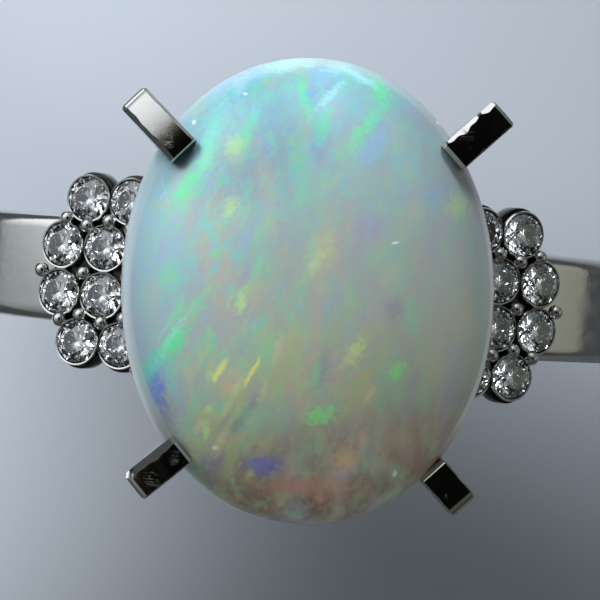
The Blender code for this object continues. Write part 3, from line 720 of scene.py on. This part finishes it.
def oval_ring(name, half_width, half_length, wall, section):
    """An oval ring of the head, in millimetres. section gives its outline, (place across the wall, height)."""
    rings = []
    for step in range(OVAL_STEPS):
        turn = math.tau * step / OVAL_STEPS
        rings.append([
            (*around(turn, half_width - wall + place, half_length - wall + place), height)
            for place, height in rounded_corners(section(turn), 0.08)
        ])
    edit = bmesh.new()
    skin(edit, rings, joined=True)
    bmesh.ops.transform(edit, matrix=HEAD, verts=edit.verts)
    return mesh_from(name, edit)


def rail_section(turn):
    """The rail's top slopes in under the opal's back, which rests on it."""
    def seat(place):
        x, y = around(turn, RAIL_HALF_WIDTH - RAIL_WALL + place, RAIL_HALF_LENGTH - RAIL_WALL + place)
        return min(RAIL_TOP, opal_height(x, y, -OPAL_BACK, BACK_POWER) - GAP)
    low = RAIL_TOP - RAIL_DEPTH
    return [(0.0, low), (RAIL_WALL, low), (RAIL_WALL, seat(RAIL_WALL)), (0.0, seat(0.0))]


def collar_section(turn):
    """The collar's foot is cut to the curve of the band."""
    wall = COLLAR_WALL

    def saddle(place):
        x, y = around(turn, COLLAR_HALF_WIDTH - wall + place, COLLAR_HALF_LENGTH - wall + place)
        across = x * math.cos(HEAD_TURN) - y * math.sin(HEAD_TURN)
        return math.sqrt((BAND_RADIUS / MM + GAP) ** 2 - across**2) - GIRDLE_HEIGHT / MM
    return [(0.0, saddle(0.0)), (wall, saddle(wall)), (wall, COLLAR_TOP), (0.0, COLLAR_TOP)]


def band_mesh(settings):
    """The band: a rounded strip turned about the finger, widest under the head and slimmest at the palm."""
    half = settings.band_width / MM / 2
    outer = BAND_RADIUS / MM
    inner = outer - settings.band_thickness / MM
    corners = [(outer, -half), (outer, half), (inner, half), (inner, -half)]
    slimmest = settings.band_slimming
    rings = []
    for step in range(BAND_STEPS):
        turn = math.tau * step / BAND_STEPS
        width = slimmest + (1 - slimmest) * (1 + math.sin(turn)) / 2
        rings.append([
            (radius * math.cos(turn), along * width, radius * math.sin(turn))
            for radius, along in rounded_corners(corners, 0.35, 8)
        ])
    edit = bmesh.new()
    skin(edit, rings, joined=True)
    return mesh_from("finger_band", edit)


def on_band(side, turn, along, radius):
    """The frame of a spot on the band, in metres, where Z points away from the finger."""
    return Matrix.Rotation(side * turn, 4, "Y") @ Matrix.Translation((0.0, along, radius))


def stone_places(settings):
    """Where each small stone sits, as (turn from the top of the band, place along the finger)."""
    places = []
    for row, columns in ((-1.5, OUTER_ROW), (-0.5, INNER_ROW), (0.5, INNER_ROW), (1.5, OUTER_ROW)):
        places += [(math.asin(column * MM / PLATE_RADIUS), row * settings.row_pitch) for column in columns]
    return places


def bead_places(settings):
    """Beads stand at the stones' corners and are shared, as (arc length, place along) in millimetres."""
    bead = settings.bead_radius / MM
    reach = (settings.stone_diameter / MM / 2 + bead + GAP) * math.sqrt(0.5)
    spots = []
    for turn, along in stone_places(settings):
        for side_x, side_y in ((1, 1), (1, -1), (-1, -1), (-1, 1)):
            spot = Vector((PLATE_RADIUS / MM * turn + side_x * reach, along / MM + side_y * reach))
            x = (PLATE_RADIUS / MM * math.sin(spot.x * MM / PLATE_RADIUS) - PLATE_START) / (PLATE_REACH - bead)
            y = abs(spot.y) / (PLATE_HALF_WIDTH - bead / 2)
            clear = all((spot - other).length > 2 * bead for other in spots)
            if clear and x > 0 and x**2.8 + y**2.8 < 1:
                spots.append(spot)
    return spots


def plate_outline(settings):
    """The plate's edge, in millimetres as (arc length, place along): it hugs the stones in scallops."""
    radius = PLATE_RADIUS / MM
    stones = [Vector((radius * turn, along / MM)) for turn, along in stone_places(settings)]
    margin = settings.stone_diameter / MM / 2 + EDGE_MARGIN
    start = radius * math.asin(PLATE_START / radius)
    middle = Vector((start + 0.9, 0.0))
    outline = []
    for step in range(181):
        turn = math.radians(-100 + 200 * step / 180)
        ray = Vector((math.cos(turn), math.sin(turn)))
        reach = 0.0
        for stone in stones:
            along = (stone - middle).dot(ray)
            off = (stone - middle - ray * along).length
            if off < margin:
                reach = max(reach, along + math.sqrt(margin**2 - off**2))
        # Between two stones the edge dips no further than their shared bead
        waist = max((stone - middle).dot(ray) for stone in stones)
        spot = middle + ray * max(reach, waist + 0.12)
        outline.append((max(spot.x, start), spot.y))
    return outline


def drilled_sheet(outline, middles, hole, thickness):
    """A flat sheet in millimetres with round holes, its edges rounded over."""
    loops = [outline]
    for x, y in middles:
        edge = (around(math.tau * step / HOLE_STEPS, hole, hole) for step in range(HOLE_STEPS))
        loops.append([(x + across, y + along) for across, along in edge])
    points, sides = [], []
    for loop in loops:
        first = len(points)
        points += [Vector(place) for place in loop]
        sides += [(first + step, first + (step + 1) % len(loop)) for step in range(len(loop))]
    places, _, corners, *_ = delaunay_2d_cdt(points, sides, [], 0, 1e-4)

    def metal_at(spot):
        within = False
        for near, far in zip(outline, outline[1:] + outline[:1]):
            if (near[1] > spot.y) != (far[1] > spot.y):
                share = (spot.y - near[1]) / (far[1] - near[1])
                within ^= spot.x < near[0] + share * (far[0] - near[0])
        return within and all(math.dist(spot, middle) > hole * 0.98 for middle in middles)

    edit = bmesh.new()
    tops = [edit.verts.new((*place, thickness / 2)) for place in places]
    for corner in corners:
        if metal_at(sum((places[index] for index in corner), Vector((0.0, 0.0))) / len(corner)):
            edit.faces.new([tops[index] for index in corner])
    bmesh.ops.delete(edit, geom=[vertex for vertex in edit.verts if not vertex.link_faces], context="VERTS")
    lower = bmesh.ops.extrude_face_region(edit, geom=edit.faces[:], use_keep_orig=True)["geom"]
    moved = [item for item in lower if isinstance(item, bmesh.types.BMVert)]
    bmesh.ops.translate(edit, verts=moved, vec=(0.0, 0.0, -thickness))
    bmesh.ops.recalc_face_normals(edit, faces=edit.faces)
    rims = [edge for edge in edit.edges if edge.calc_face_angle(0.0) > 1.2 and
            abs(edge.verts[0].co.z - edge.verts[1].co.z) < thickness / 2]
    bmesh.ops.bevel(edit, geom=rims, offset=0.05, segments=2, profile=0.5, affect="EDGES", clamp_overlap=False)
    return edit


def plate_mesh(name, side, settings):
    """The plate under the small stones, drilled for them, and one loose point for each bead.

    It is drawn flat with its edges rounded, cut into narrow strips, and then bent over the band.
    """
    radius = PLATE_RADIUS / MM
    thickness = settings.plate_thickness / MM - RIM_HEIGHT
    hole = settings.stone_diameter / MM / 2 + GAP
    stones = [(radius * turn, along / MM) for turn, along in stone_places(settings)]
    edit = drilled_sheet(plate_outline(settings), stones, hole, thickness)
    ends = [vertex.co.x for vertex in edit.verts]
    cut = min(ends) + STRIP_WIDTH
    while cut < max(ends):
        bmesh.ops.bisect_plane(
            edit, geom=[*edit.verts, *edit.edges, *edit.faces], plane_co=(cut, 0.0, 0.0), plane_no=(1.0, 0.0, 0.0)
        )
        cut += STRIP_WIDTH
    bmesh.ops.translate(edit, verts=edit.verts, vec=(0.0, 0.0, radius - RIM_HEIGHT - thickness / 2))

    # Each stone has a thin raised rim, and under it a drilled cone that shows through the stone
    rim = [(hole - 0.005, -0.12), (hole + 0.035, -0.25), (hole + 0.05, -0.03), (hole + 0.03, 0.0), (hole, -0.01)]
    drill = [(hole + 0.02, -0.3), (hole + 0.02, -0.62), (0.13, -0.6), (hole - 0.01, -0.22)]
    for x, y in stones:
        for profile in (rim, drill):
            rings = []
            for step in range(HOLE_STEPS):
                spin = math.tau * step / HOLE_STEPS
                rings.append([
                    Vector((x + out * math.cos(spin), y + out * math.sin(spin), radius + height)) / MM
                    for out, height in profile
                ])
            skin(edit, rings, joined=True)

    for vertex in edit.verts:
        turn = vertex.co.x / radius
        vertex.co = Vector((side * vertex.co.z * math.sin(turn), vertex.co.y, vertex.co.z * math.cos(turn))) * MM
    edit.verts.layers.float.new("bead")
    plate = mesh_from(name, edit)
    beads = bead_places(settings)
    first = len(plate.vertices)
    plate.vertices.add(len(beads))
    for number, spot in enumerate(beads):
        place = on_band(side, spot.x / radius, spot.y * MM, PLATE_RADIUS).translation
        plate.vertices[first + number].co = place
        plate.attributes["bead"].data[first + number].value = 1.0
    return plate


def beads_tree(surface):
    """Sets a small ball on every point that the plate marks for one, and keeps the plate."""
    tree, given = new_tree("raised_beads", {"Bead Radius": 0.17 * MM})
    node = partial(add_node, tree)
    chosen = node("FunctionNodeCompare GREATER_THAN", node("GeometryNodeInputNamedAttribute", "bead"), 0.5)
    marked = node("GeometryNodeSeparateGeometry", given["Geometry"], chosen)
    ball = node("GeometryNodeSetShadeSmooth", node("GeometryNodeMeshUVSphere", 16, 10, given["Bead Radius"]))
    points = node("GeometryNodeMeshToPoints", marked)
    whole = node("GeometryNodeJoinGeometry", node("GeometryNodeInstanceOnPoints", points, Instance=ball))
    tree.links.new(marked.node.outputs["Inverted"], whole.node.inputs["Geometry"])
    finish_tree(tree, whole, surface)
    return tree


def brilliant_mesh(name, diameter, place, spin):
    """A round brilliant with its 57 facets: table, stars, kites and girdle facets over mains and halves."""
    radius = diameter / 2
    table, crown, girdle, pavilion = 0.56 * radius, 0.16 * diameter, 0.03 * MM, 0.43 * diameter - 0.03 * MM
    eighth = math.tau / 8
    lean = math.cos(eighth / 2)
    star = (table * lean + radius) / 2
    lower = 0.24 * radius

    edit = bmesh.new()

    def round_points(reach, height, first, count):
        turns = (spin + math.tau * (first + step) / count for step in range(count))
        return [edit.verts.new((*around(turn, reach, reach), height)) for turn in turns]

    tables = round_points(table, crown, 0.0, 8)
    stars = round_points(star, crown * (radius - star * lean) / (radius - table), 0.5, 8)
    tops = round_points(radius, 0.0, 0.0, 16)
    bottoms = round_points(radius, -girdle, 0.0, 16)
    halves = round_points(lower, -girdle - pavilion * (1 - lower * lean / radius), 0.5, 8)
    culet = edit.verts.new((0.0, 0.0, -girdle - pavilion))
    edit.faces.new(tables)
    for step in range(8):
        after = (step + 1) % 8
        main, half, following = 2 * step, 2 * step + 1, 2 * after
        edit.faces.new((tables[step], stars[step], tables[after]))
        edit.faces.new((tables[step], stars[step - 1], tops[main], stars[step]))
        edit.faces.new((stars[step], tops[main], tops[half]))
        edit.faces.new((stars[step], tops[half], tops[following]))
        edit.faces.new((tops[main], bottoms[main], bottoms[half], tops[half]))
        edit.faces.new((tops[half], bottoms[half], bottoms[following], tops[following]))
        edit.faces.new((halves[step], bottoms[half], bottoms[main]))
        edit.faces.new((halves[step], bottoms[following], bottoms[half]))
        edit.faces.new((culet, halves[step], bottoms[main], halves[step - 1]))
    bmesh.ops.transform(edit, matrix=place, verts=edit.verts)
    face_outwards(edit)
    mesh = bpy.data.meshes.new(name)
    edit.to_mesh(mesh)
    edit.free()
    return mesh


def size_setting(name, description, default, **kind):
    """A number that the user can change: a length in metres, unless its kind says otherwise."""
    kind = kind or {"unit": "LENGTH"}
    return bpy.props.FloatProperty(name=name, description=description, default=default, **kind)


def colour_setting(name, description, default):
    """A colour that the user can change. Its default is an sRGB hex value."""
    return bpy.props.FloatVectorProperty(
        name=name, description=description, default=linear(default), size=4, subtype="COLOR", min=0.0, max=1.0
    )


class OpalSettings(bpy.types.PropertyGroup):
    half_width: size_setting("Half width", "From the opal's axis to its side", OPAL_HALF_WIDTH * MM)
    half_length: size_setting("Half length", "From the opal's axis to its end", OPAL_HALF_LENGTH * MM)
    dome: size_setting("Dome", "Height of the dome over the girdle", OPAL_DOME)
    back: size_setting("Back", "Depth of the rounded back", OPAL_BACK)


class MetalSettings(bpy.types.PropertyGroup):
    claw_width: size_setting("Claw width", "Width of a claw's flat top", 0.68 * MM)
    tip_thickness: size_setting("Tip thickness", "Metal over the opal at a claw's tip", 0.42 * MM)
    leg_thickness: size_setting("Leg thickness", "Thickness of a claw where it leaves the collar", 0.62 * MM)
    band_width: size_setting("Band width", "Width of the band under the head", 2.5 * MM)
    band_thickness: size_setting("Band thickness", "From the finger to the band's outside", 1.5 * MM)
    band_slimming: size_setting(
        "Band slimming", "Width at the palm, as a share of the width under the head", 0.76, subtype="FACTOR"
    )
    colour: colour_setting("Platinum", "Colour of the polished metal", "#d1cfca")


class ShoulderSettings(bpy.types.PropertyGroup):
    stone_diameter: size_setting("Stone diameter", "Girdle diameter of a small stone", 0.95 * MM)
    row_pitch: size_setting("Row pitch", "From one row of stones to the next", 1.07 * MM)
    bead_radius: size_setting("Bead radius", "Size of the beads that hold the stones", 0.17 * MM)
    plate_thickness: size_setting("Plate thickness", "Thickness of the fan-shaped plate", 0.65 * MM)


class StageSettings(bpy.types.PropertyGroup):
    distance: size_setting("Camera distance", "From the lens to the girdle", 90 * MM)
    lean_left: size_setting(
        "Lean left", "Lean of the view from straight down, to the left", math.radians(2.2), subtype="ANGLE"
    )
    lean_up: size_setting(
        "Lean up", "Lean of the view from straight down, to the top", math.radians(1.0), subtype="ANGLE"
    )
    floor_colour: colour_setting("Floor", "Colour of the floor", "#bfc5ca")


class RING_OT_opal(bpy.types.Operator):
    """Make the polished opal"""

    bl_idname = "ring.opal"
    bl_label = "Opal"

    def execute(self, context):
        settings = context.scene.ring_opal
        tree = cabochon_tree(opal_material(settings))
        opal = apply_tree("opal_stone", bpy.data.meshes.new("blank"), tree, {
            "Half Width": settings.half_width,
            "Half Length": settings.half_length,
            "Dome": settings.dome,
            "Back": settings.back,
        })
        opal.data.transform(HEAD)
        hand_over(opal, "polished_opal", "opal")
        return {"FINISHED"}


class RING_OT_claws(bpy.types.Operator):
    """Make the four claws"""

    bl_idname = "ring.claws"
    bl_label = "Claws"

    def execute(self, context):
        settings = context.scene.ring_metal
        surface = platinum_material("platinum_filed", settings.colour, 0.10, 0.004 * MM)
        for node, shape in CLAWS.items():
            claw = new_object(node + "_strip", claw_mesh(node + "_strip", settings, *shape))
            claw.data.materials.append(surface)
            hand_over(claw, "polished_platinum", node)
        return {"FINISHED"}


class RING_OT_head(bpy.types.Operator):
    """Make the rail under the opal and the collar on the band"""

    bl_idname = "ring.head"
    bl_label = "Head"

    def execute(self, context):
        surface = platinum_material("platinum_cast", context.scene.ring_metal.colour, 0.16, 0.006 * MM)
        rail = oval_ring("opal_rail", RAIL_HALF_WIDTH, RAIL_HALF_LENGTH, RAIL_WALL, rail_section)
        collar = oval_ring("head_collar", COLLAR_HALF_WIDTH, COLLAR_HALF_LENGTH, COLLAR_WALL, collar_section)
        for mesh, node in ((rail, "gallery_rail"), (collar, "collar")):
            piece = new_object(mesh.name, mesh)
            mesh.materials.append(surface)
            hand_over(piece, "polished_platinum", node)
        return {"FINISHED"}


class RING_OT_band(bpy.types.Operator):
    """Make the finger band"""

    bl_idname = "ring.band"
    bl_label = "Band"

    def execute(self, context):
        settings = context.scene.ring_metal
        band = new_object("finger_band", band_mesh(settings))
        band.data.materials.append(platinum_material("platinum_polished", settings.colour, 0.12, 0.004 * MM))
        hand_over(band, "polished_platinum", "shank")
        return {"FINISHED"}


class RING_OT_shoulders(bpy.types.Operator):
    """Make the fan-shaped plates with their beads"""

    bl_idname = "ring.shoulders"
    bl_label = "Shoulders"

    def execute(self, context):
        settings = context.scene.ring_shoulders
        # Below 0.08 mm inside the plate's radius the metal is painted dark: painted shade between the stones
        surface = platinum_material(
            "platinum_beaded", context.scene.ring_metal.colour, 0.14, 0.006 * MM, PLATE_RADIUS / MM - 0.08
        )
        tree = beads_tree(surface)
        for name, side in (("left", -1), ("right", 1)):
            plate = plate_mesh(name + "_plate", side, settings)
            plate.materials.append(surface)
            shoulder = apply_tree(name + "_shoulder", plate, tree, {"Bead Radius": settings.bead_radius})
            hand_over(shoulder, "polished_platinum", "shoulder_" + name)
        return {"FINISHED"}


class RING_OT_stones(bpy.types.Operator):
    """Set the small cut stones"""

    bl_idname = "ring.stones"
    bl_label = "Small stones"

    def execute(self, context):
        settings = context.scene.ring_shoulders
        surface = melee_material()
        for name, side in (("left", -1), ("right", 1)):
            for number, (turn, along) in enumerate(stone_places(settings), start=1):
                place = on_band(side, turn, along, PLATE_RADIUS - GAP * MM)
                stone_name = f"{name}_brilliant_{number:02d}"
                mesh = brilliant_mesh(stone_name, settings.stone_diameter, place, number * 1.3)
                mesh.materials.append(surface)
                hand_over(new_object(stone_name, mesh), "clear_melee", f"melee_{name}_{number:02d}")
        return {"FINISHED"}


def head_axes(x, y, z):
    """A direction given across, along and up from the head, in the ring's frame."""
    return (Matrix.Rotation(HEAD_TURN, 3, "Z") @ Vector((x, y, z))).normalized()


def studio_world():
    """Soft pale light from the upper left of the view, dim from the lower right and from overhead."""
    world = bpy.data.worlds.new("studio")
    world.use_nodes = True
    world.node_tree.nodes.clear()
    node = partial(add_node, world.node_tree)
    aim = node("TexCoord").node.outputs["Generated"]
    side = node("VectorMath DOT_PRODUCT", aim, head_axes(-0.58, 0.74, 0.34))
    sky = node("ValToRGB", node("MapRange", side, -1.0), stops=SKY_COLOURS)
    # A bright window in the pale side
    window = node("MapRange", side, 0.62, 0.92, 0.68, 1.6, **EASED)
    # The dark of the camera overhead, with a warm rim
    up = node("VectorMath DOT_PRODUCT", aim, head_axes(0.05, 0.0, 1.0))
    overhead = node("ValToRGB", node("MapRange", up, 0.86, 0.98, 1.0, 0.0, **EASED), stops=OVERHEAD_COLOURS)
    tinted = node("Mix", 1.0, sky, overhead, blend_type="MULTIPLY", **COLOURS)
    # A pale card low at the right, for the gloss of the band
    card = node("VectorMath DOT_PRODUCT", aim, head_axes(0.96, -0.1, 0.2))
    gloss = node("MapRange", card, 0.86, 0.97, 1.0, 4.5, **EASED)
    # Gloss and clear stones see it in full. The lamps light what is matt, so the floor can fall off to dark.
    rays = node("LightPath").node.outputs
    seen = node("Math MAXIMUM", rays["Is Glossy Ray"], rays["Is Transmission Ray"])
    share = node("MapRange", seen, 0.0, 1.0, 0.38, gloss)
    strength = node("Math MULTIPLY", window, share)
    node("OutputWorld", node("Background", tinted, strength))
    bpy.context.scene.world = world


def add_lamp(name, kind, settings, place, target):
    """A lamp with its settings, turned from a place to a target, both in the head's axes, in millimetres.

    It is too matt to mirror in the metal.
    """
    lamp = bpy.data.lights.new(name, kind)
    for setting, value in settings.items():
        setattr(lamp, setting, value)
    light = new_object(name, lamp)
    light.location = HEAD @ (Vector(place) * MM)
    heading = light.location - HEAD @ (Vector(target) * MM)
    light.rotation_euler = heading.to_track_quat("Z", "Y").to_euler()
    light.visible_camera = False
    light.visible_glossy = False


class RING_OT_stage(bpy.types.Operator):
    """Set up the floor, the light and the camera"""

    bl_idname = "ring.stage"
    bl_label = "Stage"

    def execute(self, context):
        settings = context.scene.ring_stage
        surface, node = new_material("matt_floor")
        node("OutputMaterial", node("BsdfPrincipled", **{
            "Base Color": settings.floor_colour, "Roughness": 0.9,
        }))
        bpy.ops.mesh.primitive_plane_add(size=FLOOR_SIZE, location=(0.0, 0.0, FLOOR_HEIGHT))
        floor = context.object
        floor.name = "floor"
        floor.data.materials.append(surface)

        studio_world()
        for name, energy, spread, place, target in SOFT_BOXES:
            add_lamp(name, "AREA", {
                "size": SOFT_BOX_SIZE, "spread": math.radians(spread), "energy": energy,
                "color": linear(SOFT_BOX_COLOUR)[:3],
            }, place, target)
        for name, energy, spread, softness, place, target in BACKDROP_SPOTS:
            add_lamp(name, "SPOT", {
                "spot_size": math.radians(spread), "spot_blend": softness, "shadow_soft_size": SPOT_RADIUS,
                "energy": energy, "color": linear(SPOT_COLOUR)[:3], "use_shadow": False,
            }, place, target)

        middle = Vector((PHOTO_SIZE / 2 - OPAL_MIDDLE_PIXEL[0], OPAL_MIDDLE_PIXEL[1] - PHOTO_SIZE / 2, 0.0))
        aim = HEAD @ (middle / PIXELS_PER_MM * MM)
        leans = Matrix.Rotation(-settings.lean_left, 4, "Y") @ Matrix.Rotation(-settings.lean_up, 4, "X")
        view = Matrix.Rotation(HEAD_TURN, 4, "Z") @ leans
        camera_data = bpy.data.cameras.new("camera")
        camera = new_object("camera", camera_data)
        camera.matrix_world = Matrix.Translation(aim) @ view @ Matrix.Translation((0.0, 0.0, settings.distance))
        frame_width = PHOTO_SIZE / PIXELS_PER_MM * MM
        camera_data.lens = camera_data.sensor_width * settings.distance / frame_width
        camera_data.clip_start = 1 * MM
        context.scene.camera = camera
        context.scene.view_settings.view_transform = "Standard"
        return {"FINISHED"}


class RING_PT_panel(bpy.types.Panel):
    bl_label = "Opal ring"
    bl_idname = "RING_PT_panel"
    bl_space_type = "VIEW_3D"
    bl_region_type = "UI"
    bl_category = "Opal ring"

    def draw(self, context):
        for operator in OPERATORS:
            self.layout.operator(operator.bl_idname)


OPERATORS = (
    RING_OT_opal, RING_OT_claws, RING_OT_head, RING_OT_band, RING_OT_shoulders, RING_OT_stones, RING_OT_stage,
)
SETTINGS = {
    "ring_opal": OpalSettings,
    "ring_metal": MetalSettings,
    "ring_shoulders": ShoulderSettings,
    "ring_stage": StageSettings,
}
CLASSES = (*SETTINGS.values(), *OPERATORS, RING_PT_panel)


def register():
    for item in CLASSES:
        bpy.utils.register_class(item)
    for name, settings in SETTINGS.items():
        setattr(bpy.types.Scene, name, bpy.props.PointerProperty(type=settings))


def unregister():
    for name in SETTINGS:
        delattr(bpy.types.Scene, name)
    for item in reversed(CLASSES):
        bpy.utils.unregister_class(item)


def main():
    register()
    bpy.ops.ring.opal()
    bpy.ops.ring.claws()
    bpy.ops.ring.head()
    bpy.ops.ring.band()
    bpy.ops.ring.shoulders()
    bpy.ops.ring.stones()
    bpy.ops.ring.stage()
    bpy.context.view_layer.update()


if __name__ == "__main__":
    main()
